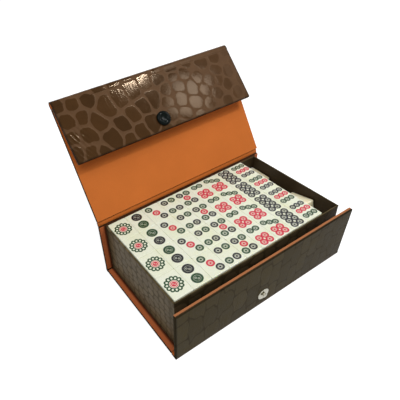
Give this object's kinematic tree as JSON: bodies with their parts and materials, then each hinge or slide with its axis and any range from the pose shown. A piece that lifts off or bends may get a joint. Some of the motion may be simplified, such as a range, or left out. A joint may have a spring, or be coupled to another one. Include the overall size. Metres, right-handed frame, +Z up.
{
  "type": "mahjong case",
  "caption": "Book-style mahjong case with a crocodile-embossed cover, an orange lining and a snap flap, holding a tray packed with layers of mahjong tiles that show the circle suit.",
  "frame": {"origin": "centre of the underside of the base board along its length, halfway between the tray's front and back", "axes": "+X along the case to the free end of the tray, +Y from the front board to the lid's hinge, +Z up"},
  "size_m": [0.175, 0.162, 0.1447],
  "materials": {
    "croc_skin": "glossy crocodile-embossed leatherette, dark brown scales with paler grooves",
    "croc_paper": "glossy crocodile-embossed paper, grey-brown",
    "orange_lining": "smooth satin orange-brown lining",
    "greyboard": "raw grey cardboard",
    "dark_paper": "matte dark brown paper",
    "tile": "polished ivory resin with engraved and painted circles",
    "black_cap": "glossy black enamel",
    "snap_metal": "nickel plated",
    "spring_steel": "bare spring wire"
  },
  "bodies": {
    "case_base": {"base_board": "greyboard", "base_cover": "croc_skin", "base_lining": "orange_lining", "back_board": "greyboard", "back_cover": "croc_skin", "back_lining": "orange_lining", "corner_strip": "croc_skin", "tray_floor": "greyboard", "tray_front_wall": "greyboard", "tray_back_wall": "greyboard", "tray_left_wall": "greyboard", "tray_right_wall": "greyboard", "tray_wrap": "croc_paper", "tray_lining": "dark_paper", "front_strip": "croc_skin", "front_hinge_strip": "croc_skin", "lid_hinge_strip": "croc_skin"},
    "lid": {"lid_board": "greyboard", "lid_cover": "croc_skin", "lid_lining": "orange_lining", "flap_hinge_strip": "orange_lining"},
    "flap": {"flap_board": "greyboard", "flap_cover": "croc_skin", "flap_lining": "orange_lining", "snap_cap": "black_cap", "snap_socket": "snap_metal", "socket_spring": "spring_steel"},
    "front_panel": {"front_board": "greyboard", "front_cover": "croc_skin", "front_lining": "orange_lining", "snap_stud": "snap_metal", "stud_eyelet": "snap_metal"},
    "bottom_layer": {"bottom_layer_tiles": "tile"},
    "third_layer": {"third_layer_tiles": "tile"},
    "second_layer": {"second_layer_tiles": "tile"},
    "top_layer": {"circles_1": "tile", "circles_2": "tile", "circles_3": "tile", "circles_4": "tile", "circles_5": "tile", "circles_6": "tile", "circles_7": "tile", "circles_8": "tile", "circles_9": "tile"},
    "spares": {"spare_tiles": "tile"}
  },
  "joints": [
    {"name": "lid_fold", "type": "hinge", "parent": "case_base", "child": "lid", "pos_m": [0, 0.049, 0.0557], "axis": [-1, 0, 0], "range_deg": [-122.1, 0]},
    {"name": "flap_swing", "type": "hinge", "parent": "lid", "child": "flap", "pos_m": [0, 0.10122, 0.14177], "axis": [1, 0, 0], "range_deg": [-86.5, 0]},
    {"name": "front_tilt", "type": "hinge", "parent": "case_base", "child": "front_panel", "pos_m": [0, -0.0543, 0.001], "axis": [1, 0, 0], "range_deg": [-6.6, 0]},
    {"name": "bottom_layer_lift", "type": "slide", "parent": "case_base", "child": "bottom_layer", "axis": [0, 0, 1], "range_m": [0, 0.055]},
    {"name": "third_layer_lift", "type": "slide", "parent": "bottom_layer", "child": "third_layer", "axis": [0, 0, 1], "range_m": [0, 0.045]},
    {"name": "second_layer_lift", "type": "slide", "parent": "third_layer", "child": "second_layer", "axis": [0, 0, 1], "range_m": [0, 0.03]},
    {"name": "top_layer_lift", "type": "slide", "parent": "second_layer", "child": "top_layer", "axis": [0, 0, 1], "range_m": [0, 0.02]},
    {"name": "spares_lift", "type": "slide", "parent": "case_base", "child": "spares", "axis": [0, 0, 1], "range_m": [0, 0.055]}
  ],
  "couplings": [
    {"joint": "flap_swing", "follows": "lid_fold", "ratio": 0.70827},
    {"joint": "front_tilt", "follows": "lid_fold", "ratio": 0.053892}
  ]
}
